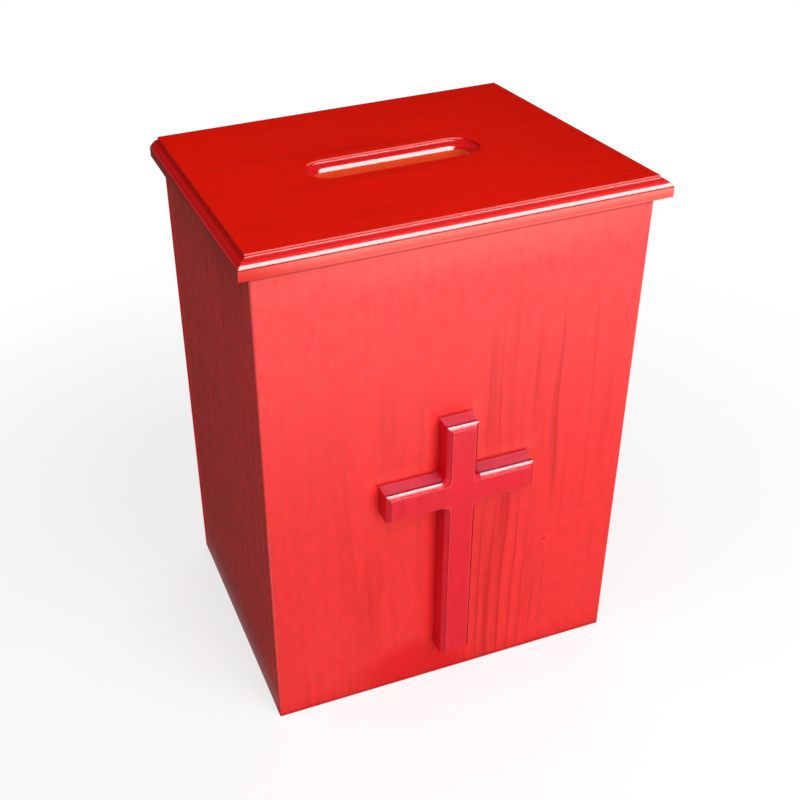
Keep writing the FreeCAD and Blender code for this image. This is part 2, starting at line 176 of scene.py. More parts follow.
def makeCamera(setup):
    azimuth, elevation = math.radians(setup["azimuth"]), math.radians(setup["elevation"])
    back = Vector((math.sin(azimuth) * math.cos(elevation), -math.cos(azimuth) * math.cos(elevation),
                   math.sin(elevation)))
    right = Vector((math.cos(azimuth), math.sin(azimuth), 0.0))
    up = back.cross(right)
    cosine, sine = math.cos(math.radians(setup["roll"])), math.sin(math.radians(setup["roll"]))
    turned = Matrix((cosine * right + sine * up, cosine * up - sine * right, back)).transposed()
    data = bpy.data.cameras.new("photo_camera")
    data.sensor_width = setup["sensor"]
    data.lens = setup["focalPixels"] / setup["imagePixels"] * setup["sensor"]
    half = setup["imagePixels"] / 2
    data.shift_x = (half - setup["centrePixel"][0]) / setup["imagePixels"]
    data.shift_y = (setup["centrePixel"][1] - half) / setup["imagePixels"]
    data.clip_end = setup["farthest"]
    camera = bpy.data.objects.new("photo_camera", data)
    bpy.context.scene.collection.objects.link(camera)
    place = Vector(setup["target"]) + back * setup["distance"]
    camera.matrix_world = Matrix.Translation(place) @ turned.to_4x4()
    bpy.context.scene.camera = camera


makeCamera(cameraSetup)
print("camera placed")

# floor, a dark tent and card that only gloss sees, and lamps
# a pair says where a mask is 0 and where it is 1
studio = {
    "floorSize": 12.0, "floorColour": rgb(0.88, 0.88, 0.88), "floorGlow": 0.68, "glow": (0.25, 0.85),
    "tentRadius": 3.0, "tentSegments": (64, 32), "tentFade": (0.02, 0.15), "cloth": rgb(0.004, 0.004, 0.004),
    "worldColour": rgb(1.0, 1.0, 1.0), "worldStrength": 0.22, "aim": (0.0, -0.05, 0.30),
}
cardSetup = {
    "size": 6.4, "height": 0.0008, "colour": rgb(0.045, 0.035, 0.03), "farLeft": (-1.2, -0.7),
    "aheadFrom": (-0.09, -0.11), "aheadTo": (-0.85, -0.25), "aheadRight": (1.0, 0.5),
    "leftFrom": (-0.13, -0.16), "leftFront": (-2.8, -2.0), "leftBack": (3.0, 2.2),
}
lamps = {
    "front_softbox": {"place": (0.46, -1.48, 0.84), "size": (1.10, 0.80), "power": 17.0, "inGloss": False},
    "upper_softbox": {"place": (0.52, -0.95, 1.24), "size": (1.00, 0.50), "power": 7.0, "inGloss": False},
    "top_softbox": {"place": (-0.45, -0.30, 1.50), "size": (1.20, 0.60), "power": 8.0, "inGloss": False},
    "back_softbox": {"place": (0.66, 1.08, 1.22), "size": (1.20, 0.80), "power": 6.5, "inGloss": False},
    "glint_strip": {"place": (0.47, -0.686, 1.135), "aim": (0.47, -0.022, 0.454), "size": (1.20, 0.65),
                    "power": 31.0, "onMatt": False},
}


def stagePiece(name, mesh):
    made = bpy.data.objects.new(name, mesh)
    bpy.context.scene.collection.objects.link(made)
    return made


def plate(name, size):
    mesh = bpy.data.meshes.new(name)
    half = size / 2
    corners = [(-half, -half, 0), (half, -half, 0), (half, half, 0), (-half, half, 0)]
    mesh.from_pydata(corners, [], [(0, 1, 2, 3)])
    return stagePiece(name, mesh)


def glossOnly(made):
    made.visible_camera = False
    made.visible_diffuse = False
    made.visible_shadow = False


def seenDirectly(wire):
    path = wire.node("ShaderNodeLightPath", {}, {}, "Is Camera Ray")
    return path.most(path.also("Is Glossy Ray")).most(path.also("Is Transmission Ray"))


# closes a material with one shader where the mask is 0 and the other where it is 1
def closeMixed(wire, mask, first, second):
    mixed = wire.node("ShaderNodeMixShader", {}, {0: mask, 1: first, 2: second})
    wire.node("ShaderNodeOutputMaterial", {}, {"Surface": mixed})


def makeFloor(setup):
    floor = plate("floor", setup["floorSize"])
    material, wire = startMaterial("pale_floor")
    place = wire.place()
    away = place.node("ShaderNodeVectorMath", {"operation": "LENGTH"}, {0: place}, "Value")
    lit = wire.node("ShaderNodeBsdfDiffuse", {}, {"Color": setup["floorColour"]})
    glow = wire.node("ShaderNodeEmission", {}, {"Color": rgb(1, 1, 1), "Strength": 1.0})
    closeMixed(wire, away.step(*setup["glow"]).lifted(setup["floorGlow"]) * seenDirectly(wire), lit, glow)
    floor.data.materials.append(material)


# a dome of dark cloth, open near the floor, so that the lid keeps its colour from all sides
def makeTent(setup):
    shape = bmesh.new()
    around, upward = setup["tentSegments"]
    bmesh.ops.create_uvsphere(shape, u_segments=around, v_segments=upward, radius=setup["tentRadius"])
    mesh = bpy.data.meshes.new("dark_tent")
    shape.to_mesh(mesh)
    shape.free()
    tent = stagePiece("dark_tent", mesh)
    material, wire = startMaterial("dark_cloth")
    height = wire.place().split()[2]
    dark = wire.node("ShaderNodeBsdfDiffuse", {}, {"Color": setup["cloth"]})
    through = wire.node("ShaderNodeBsdfTransparent", {}, {})
    closeMixed(wire, height.step(*setup["tentFade"]), through, dark)
    tent.data.materials.append(material)
    glossOnly(tent)


# a dark card before and beside the box, fading out, so that the lacquer is not veiled by the white floor
def makeCard(setup):
    card = plate("dark_card", setup["size"])
    card.location.z = setup["height"]
    material, wire = startMaterial("dark_card_paper")
    x, y = wire.place().split()[:2]
    ahead = x.step(*setup["aheadRight"]) * y.step(*setup["aheadFrom"]) * y.step(*setup["aheadTo"])
    left = x.step(*setup["leftFrom"]) * y.step(*setup["leftFront"]) * y.step(*setup["leftBack"])
    dark = wire.node("ShaderNodeEmission", {}, {"Color": setup["colour"], "Strength": 1.0})
    through = wire.node("ShaderNodeBsdfTransparent", {}, {})
    closeMixed(wire, ahead.most(left) * x.step(*setup["farLeft"]), through, dark)
    card.data.materials.append(material)
    glossOnly(card)


def makeLamp(name, setup):
    place = Vector(setup["place"])
    away = (place - Vector(setup.get("aim", studio["aim"]))).normalized()
    data = bpy.data.lights.new(name, "AREA")
    data.shape = "RECTANGLE"
    data.size, data.size_y = setup["size"]
    data.energy = setup["power"]
    lamp = bpy.data.objects.new(name, data)
    bpy.context.scene.collection.objects.link(lamp)
    lamp.location = place
    lamp.visible_camera = False
    lamp.visible_diffuse = setup.get("onMatt", True)
    lamp.visible_glossy = setup.get("inGloss", True)
    side = Vector((0, 0, 1)).cross(away).normalized()
    lamp.rotation_euler = Matrix((side, away.cross(side), away)).transposed().to_euler()


def makeWorld(setup):
    world = bpy.data.worlds.new("studio_world")
    world.use_nodes = True
    world.node_tree.nodes.clear()
    wire = Wire(world.node_tree)
    strength = seenDirectly(wire).lifted(setup["worldStrength"])
    sky = wire.node("ShaderNodeBackground", {}, {"Color": setup["worldColour"], "Strength": strength})
    wire.node("ShaderNodeOutputWorld", {}, {"Surface": sky})
    bpy.context.scene.world = world


makeFloor(studio)
makeTent(studio)
makeCard(cardSetup)
makeWorld(studio)
for lampName, lampSetup in lamps.items():
    makeLamp(lampName, lampSetup)
bpy.context.scene.view_settings.view_transform = "Standard"
print("floor, tent, card and lamps placed")

# wood figure: growth rings about a pith line, soft streaks, fine fibre, mottling, blotches and pores
# each noise: stretch across, through and along the board, offset of the seed, detail, roughness
grain = {
    "sway": ((6.0, 6.0, 2.4), 0.0, 2.0, 0.5), "swayDrift": 0.024,
    "ripple": ((24.0, 24.0, 8.0), 1.3, 2.0, 0.5), "rippleDrift": 0.006,
    "late": [(0.0, 0.08), (0.40, 0.0), (0.70, 0.20), (0.86, 0.85), (0.91, 1.0), (0.96, 0.45), (1.0, 0.08)],
    "weakestRing": 0.2, "fade": ((34.0, 34.0, 5.0), 6.1, 2.0, 0.5), "fadeSpan": (0.34, 0.62),
    "fadedRing": 0.25, "fadedStreak": 0.4,
    "streak": ((110.0, 110.0, 4.0), 5.3, 2.0, 0.5), "streakSpan": (0.46, 0.72),
    "fibre": ((620.0, 620.0, 11.0), 2.1, 3.0, 0.6), "mottle": ((170.0, 170.0, 70.0), 9.2, 3.0, 0.65),
    "blotch": ((16.0, 16.0, 7.0), 3.7, 3.0, 0.55),
    "pores": ((560.0, 560.0, 42.0), 4.9, 1.0, 0.5), "poreSpan": (0.66, 0.74),
    "knotBend": 0.006, "knotReach": 0.020, "knotCore": 0.45, "knotHalo": (3.2, 1.3),
}


def boardFigure(place, name, board):
    flat = dict(zip("xyz", place.split()))
    across, through, along = (flat[axis] for axis in board["axes"])
    turned = place.node("ShaderNodeCombineXYZ", {}, {0: across, 1: through, 2: along})
    seed = board["seed"]
    drift = turned.pattern(grain["sway"], seed).swing() * grain["swayDrift"]
    drift = drift + turned.pattern(grain["ripple"], seed).swing() * grain["rippleDrift"]
    swayed = place.node("ShaderNodeCombineXYZ", {}, {0: across + drift, 1: through, 2: along})
    offAcross, offThrough = across - board["pith"][0], through - board["pith"][1]
    radius = (offAcross * offAcross + offThrough * offThrough) ** 0.5 + drift
    figure = {"turned": turned, "flat": flat, "across": across, "along": along}
    if "knot" in board:
        knotAcross, knotAlong, knotSize = board["knot"]
        knotAway = ((across - knotAcross) ** 2.0 + (along - knotAlong) ** 2.0) ** 0.5
        radius = radius + knotAway.step(grain["knotReach"], 0.0) * grain["knotBend"]
        figure["knotCore"] = knotAway.step(knotSize, knotSize * grain["knotCore"])
        figure["knotHalo"] = knotAway.step(*(knotSize * times for times in grain["knotHalo"]))
    rings = radius / board["ring"]
    ringIndex = rings.maths("FLOOR", rings)
    strength = rings.node("ShaderNodeTexWhiteNoise", {"noise_dimensions": "1D"}, {"W": ringIndex + seed})
    fade = swayed.pattern(grain["fade"], seed).step(*grain["fadeSpan"])
    late = (rings - ringIndex).curve(grain["late"])
    figure["late"] = late * strength.lifted(grain["weakestRing"]) * fade.lifted(grain["fadedRing"])
    streak = swayed.pattern(grain["streak"], seed).step(*grain["streakSpan"])
    figure["streak"] = streak * fade.lifted(grain["fadedStreak"])
    for kind in ("fibre", "mottle", "blotch"):
        figure[kind] = turned.pattern(grain[kind], seed)
    figure["pores"] = turned.pattern(grain["pores"], seed).step(*grain["poreSpan"])
    low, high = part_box(name)
    gaps = [(flat[axis] - low[i]).least(high[i] - flat[axis]) for i, axis in enumerate("xyz")]
    figure["edge"] = gaps[0].least(gaps[1]).most(gaps[0].most(gaps[1]).least(gaps[2]))
    return figure


# how dark bare wood is, from 0 for early wood to 1 for late wood
def bareDepth(figure, share):
    depth = figure["late"] * share["late"] + figure["fibre"].swing() * share["fibre"]
    depth = depth + figure["blotch"].swing() * share["blotch"] + figure["pores"] * share["pores"]
    return depth.clamp()


# squared distance from a middle, 1 on the ellipse of those half sizes
def ellipse(across, along, middle, half):
    offAcross, offAlong = (across - middle[0]) / half[0], (along - middle[1]) / half[1]
    return offAcross * offAcross + offAlong * offAlong


# red stained pine
# axes: across the face, through the board, along the grain; knot: place across and along, and size
# zones: middle and half size across and along the face, and how strongly the darker growth shows there
barePineColours = {"early": rgb(0.720, 0.520, 0.300), "late": rgb(0.520, 0.300, 0.130)}
stain = {
    "fibre": 0.22, "blotch": 0.40, "blotchMiddle": 0.45, "pores": 0.08, "mottle": 0.62, "knotHalo": 0.12,
    "knotCore": 1.1, "betweenZones": 0.15, "zoneFade": (1.3, 0.1),
    "bare": {"late": 0.8, "fibre": 0.5, "blotch": 0.3, "pores": 0.0},
    "cavity": (0.1353, 0.1028, 0.4103), "cavitySoft": (0.0004, 0.0004, 0.0002),
    "roughness": 0.30, "fibreRoughness": 0.10, "blotchRoughness": 0.12, "wearAndHighlightRoughness": 0.12,
    "bareRoughness": 0.68,
    "fibreRelief": 0.7, "lateRelief": 0.3, "poreRelief": 0.5, "bump": (0.25, 0.0002),
    "coatIor": 1.65, "unevenCoat": 2.0, "thickestCoat": 1.15, "wearAndHighlightCoat": 0.4,
    "fray": 0.0010, "arris": (0.0019, 0.0004), "wornPatch": (0.35, 0.62), "wearAndSheen": 0.2, "leastWorn": 0.1,
    "aboveFoot": (0.004, 0.012),
}
scarlet = {"early": rgb(0.800, 0.0290, 0.0270), "late": rgb(0.560, 0.0150, 0.0150),
           "rubbed": rgb(0.90, 0.190, 0.160), "gloss": 0.12, "coat": 0.85, "coatRoughness": 0.22}
thinScarlet = dict(scarlet, gloss=0.03, coat=0.10)
deepRed = {"early": rgb(0.620, 0.0066, 0.0014), "late": rgb(0.370, 0.0030, 0.0014),
           "rubbed": rgb(0.90, 0.220, 0.185), "gloss": 0.02, "coat": 1.0, "coatRoughness": 0.06}
crimson = {"early": rgb(0.670, 0.0160, 0.0300), "late": rgb(0.460, 0.0080, 0.0150),
           "rubbed": rgb(0.84, 0.120, 0.130), "gloss": 0.10, "coat": 0.8, "coatRoughness": 0.06}
frontZones = [((0.052, 0.075), (0.040, 0.150), 1.0), ((0.104, 0.250), (0.034, 0.130), 0.9),
              ((0.040, 0.270), (0.045, 0.100), 0.8), ((-0.060, 0.170), (0.045, 0.150), 0.6),
              ((-0.105, 0.010), (0.030, 0.040), 0.8)]
boards = {
    "front_panel": {"axes": "xyz", "pith": (-0.062, -0.070), "ring": 0.0088, "seed": 3.1, "depth": 1.20,
                    "streak": 0.80, "zones": frontZones, "tone": 0.08, "knot": (0.0859, 0.1177, 0.0024),
                    "dye": scarlet},
    "left_side_panel": {"axes": "yxz", "pith": (0.030, -0.080), "ring": 0.0100, "seed": 7.4, "depth": 0.30,
                        "streak": 0.35, "tone": 0.02, "dye": scarlet},
    "right_side_panel": {"axes": "yxz", "pith": (-0.040, 0.075), "ring": 0.0092, "seed": 11.9, "depth": 0.35,
                         "streak": 0.45, "tone": 0.02, "dye": thinScarlet},
    "back_left_stile": {"axes": "xyz", "pith": (-0.050, 0.080), "ring": 0.0072, "seed": 15.2, "depth": 0.40,
                        "streak": 0.40, "tone": 0.05, "dye": thinScarlet},
    "back_right_stile": {"axes": "xyz", "pith": (0.060, 0.060), "ring": 0.0078, "seed": 19.6, "depth": 0.40,
                         "streak": 0.40, "tone": 0.02, "dye": thinScarlet},
    "back_top_rail": {"axes": "zyx", "pith": (0.300, 0.090), "ring": 0.0080, "seed": 23.3, "depth": 0.40,
                      "streak": 0.40, "tone": 0.04, "dye": thinScarlet},
    "back_bottom_rail": {"axes": "zyx", "pith": (0.100, 0.080), "ring": 0.0076, "seed": 27.8, "depth": 0.40,
                         "streak": 0.40, "tone": 0.03, "dye": thinScarlet},
    "rear_door": {"axes": "xyz", "pith": (0.035, 0.060), "ring": 0.0096, "seed": 31.5, "depth": 0.50,
                  "streak": 0.50, "tone": 0.00, "knot": (-0.046, 0.262, 0.0030), "dye": thinScarlet},
    "lid_board": {"axes": "yzx", "pith": (-0.020, 0.330), "ring": 0.0110, "seed": 36.1, "depth": 0.20,
                  "streak": 0.27, "tone": 0.02, "dye": deepRed},
    "cross": {"axes": "xyz", "pith": (0.012, -0.080), "ring": 0.0060, "seed": 41.7, "depth": 0.28,
              "streak": 0.30, "tone": 0.02, "dye": crimson},
}


def stainDepth(figure, board):
    depth = figure["late"] * board["depth"] + figure["streak"] * board["streak"]
    if "zones" in board:
        share = figure["across"] * 0.0 + stain["betweenZones"]
        for middle, half, level in board["zones"]:
            inZone = ellipse(figure["across"], figure["along"], middle, half).step(*stain["zoneFade"])
            share = share.most(inZone * level)
        depth = depth * share
    depth = depth + figure["fibre"].swing() * stain["fibre"]
    depth = depth + (figure["blotch"] - stain["blotchMiddle"]) * stain["blotch"]
    depth = depth + figure["pores"] * stain["pores"] + figure["mottle"].swing() * stain["mottle"]
    if "knotCore" in figure:
        depth = depth - figure["knotHalo"] * stain["knotHalo"] + figure["knotCore"] * stain["knotCore"]
    return (depth + board["tone"]).clamp()


# the stain's colour, a lighter band along the arrises where the stain wears through (partly real wear, partly
# a painted highlight), and the lacquer, laid on unevenly
def plainFinish(figure, board):
    dye = board["dye"]
    frayed = figure["fibre"].swing() * stain["fray"]
    wearAndSheen = figure["blotch"].step(*stain["wornPatch"]) * stain["wearAndSheen"] + stain["leastWorn"]
    aboveFoot = figure["flat"]["z"].step(*stain["aboveFoot"])
    # the lighter band along the arrises: partly wear, partly a painted highlight
    rubbed = (figure["edge"] + frayed).step(*stain["arris"]) * wearAndSheen * aboveFoot
    uneven = (figure["mottle"] * stain["unevenCoat"]).least(stain["thickestCoat"])
    return {"colour": stainDepth(figure, board).tint(dye["early"], dye["late"]), "frayed": frayed,
            "rubbed": rubbed, "lacquer": uneven.less(rubbed, stain["wearAndHighlightCoat"]) * dye["coat"]}


# lid: heights and places in the frame; a line is a middle, an outer and an inner half width
lidLook = {
    "halfField": 0.1518, "fieldFront": -0.1183, "bound": (-0.0001, 0.0003), "slotBound": (0.0001, -0.0003),
    "slotStraight": 0.051, "slotMiddle": -0.004, "slotRadius": 0.012, "slotMoulding": 0.0070,
    "right": (0.05, 0.16), "rightDark": 0.22, "moulding": (0.4172, 0.4180), "mouldingShade": 0.7,
    "mouldingShadeColour": rgb(0.560, 0.0100, 0.0130), "sideFace": (0.4176, 0.4172), "sideShade": 0.9,
    "sideColour": rgb(0.33, 0.050, 0.042), "sideLine": (0.4169, 0.0007, 0.0003), "backEdge": (0.1212, 0.1226),
    "sideStep": (0.4216, 0.4224), "frontLine": (0.4177, 0.0006, 0.0003), "lesserLines": 0.6, "lines": 0.8,
    "shadeLineColour": rgb(0.14, 0.002, 0.001), "slotBack": (0.010, 0.004), "edge": (0.0008, 0.0002),
    "edgeTop": (0.4238, 0.4246), "edgeHighlight": 0.55, "ledge": (0.4181, 0.0006, 0.0002), "ledgeHighlight": 0.16,
    "rimTop": (0.4175, 0.4172), "rimFront": (-0.1243, -0.1251), "rimLeft": (-0.165, -0.095),
    "rimLeftLeast": 0.3, "rimRise": (0.4110, 0.4174), "rimUpper": 0.38, "rimFoot": (0.4118, 0.4108),
    "footLeft": (-0.13, -0.05), "rimLower": 0.17, "rimSheen": 0.36,
    "crestFrom": (0.4180, 0.4183), "crestTo": (0.4202, 0.4198),
    "slotCrest": (0.4207, 0.4201), "upperCrest": (0.4216, 0.4222), "fieldCoat": 0.28, "leastCoat": 0.015,
    "wall": (0.0014, 0.0006), "wallTop": (0.4184, 0.4177), "slotWallLitColour": rgb(1.00, 0.092, 0.024),
}


# how far outside the slot's clear opening a point of the lid lies
def slotAway(flat):
    overEnd = (abs(flat["x"]) - lidLook["slotStraight"]).most(0.0)
    return (overEnd * overEnd + (flat["y"] - lidLook["slotMiddle"]) ** 2.0) ** 0.5 - lidLook["slotRadius"]


def lidFinish(figure, board, layers):
    look, dye, flat, colour = lidLook, board["dye"], figure["flat"], layers["colour"]
    x, y, z = flat["x"], flat["y"], flat["z"]
    beyondSide, beyondFront = abs(x) - look["halfField"], look["fieldFront"] - y
    slotEdge = slotAway(flat) - look["slotMoulding"]
    onSide = (beyondSide - beyondFront.most(0.0)).step(*look["bound"])
    onFront = (beyondFront - beyondSide.most(0.0)).step(*look["bound"])
    onSlot = slotEdge.step(*look["slotBound"])
    moulded = onSide.most(onFront).most(onSlot)
    # darker towards the right end; painted shade: darker mouldings, darker side faces, and dark marks in the
    # moulding's step, at the foot of its nose and along the back edge
    colour = (x.step(*look["right"]) * look["rightDark"]).tint(colour, dye["late"])
    colour = (moulded * z.step(*look["moulding"]) * look["mouldingShade"]).tint(colour, look["mouldingShadeColour"])
    # painted shade on the lid's side faces below the moulding
    colour = (onSide * z.step(*look["sideFace"]) * look["sideShade"]).tint(colour, look["sideColour"])
    lesser = y.step(*look["backEdge"]).most(onSide * z.step(*look["sideStep"]))
    lesser = lesser.most(onFront * z.near(*look["frontLine"]))
    lines = (onSide * z.near(*look["sideLine"])).most(lesser * look["lesserLines"])
    layers["colour"] = (lines * look["lines"]).tint(colour, look["shadeLineColour"])
    # painted highlights: lighter marks along the field's arris at the front and behind the slot and along the
    # side ledges, and a painted sheen on the front vertical face, stronger towards its top and along the
    # right part of its foot, weaker to the left
    fieldEdge = abs(beyondFront).least(abs(slotEdge) + y.step(*look["slotBack"]))
    rubbed = (fieldEdge + layers["frayed"]).step(*look["edge"]) * z.step(*look["edgeTop"])
    rubbed = rubbed * look["edgeHighlight"]
    rubbed = rubbed.most(onSide * z.near(*look["ledge"]) * look["ledgeHighlight"])
    rim = z.step(*look["rimTop"]) * y.step(*look["rimFront"])
    rim = rim * x.step(*look["rimLeft"]).lifted(look["rimLeftLeast"])
    wearAndSheen = z.step(*look["rimRise"]) * look["rimUpper"]
    wearAndSheen = wearAndSheen + z.step(*look["rimFoot"]) * x.step(*look["footLeft"]) * look["rimLower"]
    layers["rubbed"] = rubbed.most(rim * (wearAndSheen + look["rimSheen"]))
    # the lacquer is thick along the crests of the front and slot mouldings, and thin beside them
    crest = z.step(*look["crestFrom"]) * z.step(*look["crestTo"]) * onFront
    crest = crest.most(onSlot * z.step(*look["slotCrest"]))
    crest = crest.most(onFront.most(onSlot) * z.step(*look["upperCrest"]))
    layers["lacquer"] = ((1 - moulded) * look["fieldCoat"] + look["leastCoat"]).most(crest) * dye["coat"]


# front panel: painted shade in the joints above the cross, under the lid and along the foot, a painted
# reflection over the top and above the arms, painted light beside the post, a painted shadow at the post's
# foot, and darker towards the bottom
frontLook = {
    "armTop": (0.2142, 0.2146), "postSide": (0.0140, 0.0146), "joint": (0.0026, 0.0010),
    "face": (-0.116, -0.117), "postTop": (0.2634, 0.2638), "jointShade": 0.75, "underLid": (0.4044, 0.4050),
    "underLidShadow": 0.52, "footLine": (0.0042, 0.0016), "footLineShade": 0.75,
    "shadeLineColour": rgb(0.34, 0.003, 0.004), "lineCoat": 0.7,
    "top": (0.368, 0.416), "topMiddle": (0.03, 0.17, 0.03), "topLeast": 0.4,
    "overArmOuter": (0.014, 0.005), "overArmInner": (0.002, 0.005), "overArmGlare": 0.3,
    "glare": 0.36, "glareColour": rgb(0.90, 0.190, 0.145),
    "beside": (0.014, 0.003), "besideLeft": (-0.0105, -0.0126), "besideBelow": (0.2165, 0.2125),
    "besidePost": (0.032, 0.024), "clear": 0.85, "shadowLiftColour": rgb(1.00, 0.027, 0.029),
    "postShadowMiddle": (-0.028, 0.012), "postShadowHalf": (0.055, 0.036), "postShadowFade": (1.2, 0.2), "postShadow": 0.8,
    "postShadowColour": rgb(0.660, 0.004, 0.006), "postShadowCoat": 0.3,
    "foot": (0.020, 0.002), "footShade": 0.35, "footCoat": 0.5, "rightEnd": (0.1493, 0.1498),
    "rightEndCoat": 0.85,
}
# cross: half width, middle height and half height of post and arms, then its noses, tops and lines
crossLook = {
    "post": (0.0125, 0.1502, 0.1134), "arms": (0.061, 0.2020, 0.0125), "behind": (-0.1318, -0.1311),
    "behindCoat": 0.6, "sideColour": rgb(0.680, 0.0020, 0.0100), "upward": (0.6, 0.9),
    "dustAndReflectionNoise": ((220.0, 220.0, 160.0), 8.0, 3.0, 0.6), "dustAndReflection": (0.30, 0.65), "leastDustAndReflection": 0.4,
    "dustAndReflectionColour": rgb(0.490, 0.0500, 0.0960), "topLine": (-0.1306, 0.0013, 0.0008),
    "rightward": (0.4, 0.6), "downward": (-0.4, -0.6), "noseLine": (-0.1338, -0.1334), "lines": 0.9,
    "shadeLineColour": rgb(0.16, 0.002, 0.008), "lineCoat": 0.5, "nose": (0.3, 0.5),
    "noseFront": (-0.1327, -0.1331), "noseCoat": 0.7,
    "faceLine": (-0.0032, 0.0006, 0.0002), "face": (-0.1341, -0.1347), "faceLineHighlight": 0.26,
    "backLine": (-0.1195, -0.1189), "backLineHighlight": 0.4,
}
leftLook = {"foot": (0.060, 0.000), "footShade": 0.5, "top": (0.33, 0.41), "underLidShade": 0.55}


# how far outside the outline of the cross a point lies, less than zero within
def crossAway(flat):
    def barAway(half, middle, halfHeight):
        return (abs(flat["x"]) - half).most(abs(flat["z"] - middle) - halfHeight)

    return barAway(*crossLook["post"]).least(barAway(*crossLook["arms"]))


def frontFinish(figure, board, layers):
    look, dye, flat, colour = frontLook, board["dye"], figure["flat"], layers["colour"]
    x, y, z = flat["x"], flat["y"], flat["z"]
    fromCross = crossAway(flat)
    # painted shade: a dark mark in the joint above the arms and the post, in the shadow under the lid, and
    # along the foot
    overArm = z.step(*look["armTop"]) * abs(x).step(*look["postSide"])
    joint = fromCross.step(*look["joint"]) * y.step(*look["face"]) * overArm.most(z.step(*look["postTop"]))
    line = (joint * look["jointShade"]).most(z.step(*look["underLid"]) * look["underLidShadow"])
    line = line.most(z.step(*look["footLine"]) * look["footLineShade"])
    # painted reflection: a lighter, pinker upper part, strongest in the middle, and a lighter band above the
    # arms
    glare = z.step(*look["top"]) * x.near(*look["topMiddle"]).lifted(look["topLeast"])
    glareLine = overArm * fromCross.step(*look["overArmOuter"]) * fromCross.step(*look["overArmInner"])
    glare = glare.most(glareLine * look["overArmGlare"])
    colour = (glare * look["glare"]).tint(colour, look["glareColour"])
    # painted light: a brighter red beside the left side of the post, lifting the shadow that the post casts
    clear = fromCross.step(*look["beside"]) * x.step(*look["besideLeft"])
    clear = clear * z.step(*look["besideBelow"]).most(abs(x).step(*look["besidePost"]))
    colour = (clear * look["clear"]).tint(colour, look["shadowLiftColour"])
    # painted shadow: a darker patch below and left of the post's foot
    postShadow = ellipse(x, z, look["postShadowMiddle"], look["postShadowHalf"]).step(*look["postShadowFade"])
    colour = (postShadow * look["postShadow"]).tint(colour, look["postShadowColour"])
    colour = line.tint(colour, look["shadeLineColour"])
    # painted shade: darker towards the bottom edge
    foot = z.step(*look["foot"])
    layers["colour"] = (foot * look["footShade"]).tint(colour, dye["late"])
    lacquer = layers["lacquer"].less(line, look["lineCoat"]).less(postShadow, look["postShadowCoat"])
    lacquer = lacquer.less(foot, look["footCoat"])
    layers["lacquer"] = lacquer.less(x.step(*look["rightEnd"]), look["rightEndCoat"])


def leftFinish(figure, board, layers):
    look, z = leftLook, figure["flat"]["z"]
    # painted shade: darker towards the foot and under the lid
    dark = (z.step(*look["foot"]) * look["footShade"]).most(z.step(*look["top"]) * look["underLidShade"])
    layers["colour"] = dark.tint(layers["colour"], board["dye"]["late"])


def crossFinish(figure, board, layers):
    look, flat, colour = crossLook, figure["flat"], layers["colour"]
    y = flat["y"]
    normalX, _, normalZ = y.node("ShaderNodeTexCoord", {}, {}, "Normal").split()
    behind, upward = y.step(*look["behind"]), normalZ.step(*look["upward"])
    # the upward tops take a dusty rose colour: partly dust, partly a painted shade and a painted reflection
    dustAndReflection = figure["turned"].pattern(look["dustAndReflectionNoise"], board["seed"]).step(*look["dustAndReflection"])
    dustAndReflection = behind * upward * dustAndReflection.lifted(look["leastDustAndReflection"])
    colour = dustAndReflection.tint(behind.tint(colour, look["sideColour"]), look["dustAndReflectionColour"])
    # painted shade: a dark mark behind each nose that faces up, and dark noses where they face right or down
    turnedAway = normalX.step(*look["rightward"]).most(normalZ.step(*look["downward"]))
    line = (upward * y.near(*look["topLine"])).most(turnedAway * y.step(*look["noseLine"]))
    layers["colour"] = (line * look["lines"]).tint(colour, look["shadeLineColour"])
    # the lacquer is thick on the back of the noses alone
    noseFront = normalZ.step(*look["nose"]) * y.step(*look["noseFront"])
    lacquer = layers["lacquer"].less(behind, look["behindCoat"]).less(noseFront, look["noseCoat"])
    layers["lacquer"] = lacquer.less(line, look["lineCoat"])
    # painted highlights: a lighter mark along the rim of the front face and along the back of the upward tops
    rubbed = crossAway(flat).near(*look["faceLine"]) * y.step(*look["face"]) * look["faceLineHighlight"]
    layers["rubbed"] = rubbed.most(upward * y.step(*look["backLine"]) * look["backLineHighlight"])


finishes = {"lid_board": lidFinish, "front_panel": frontFinish, "left_side_panel": leftFinish,
            "cross": crossFinish}


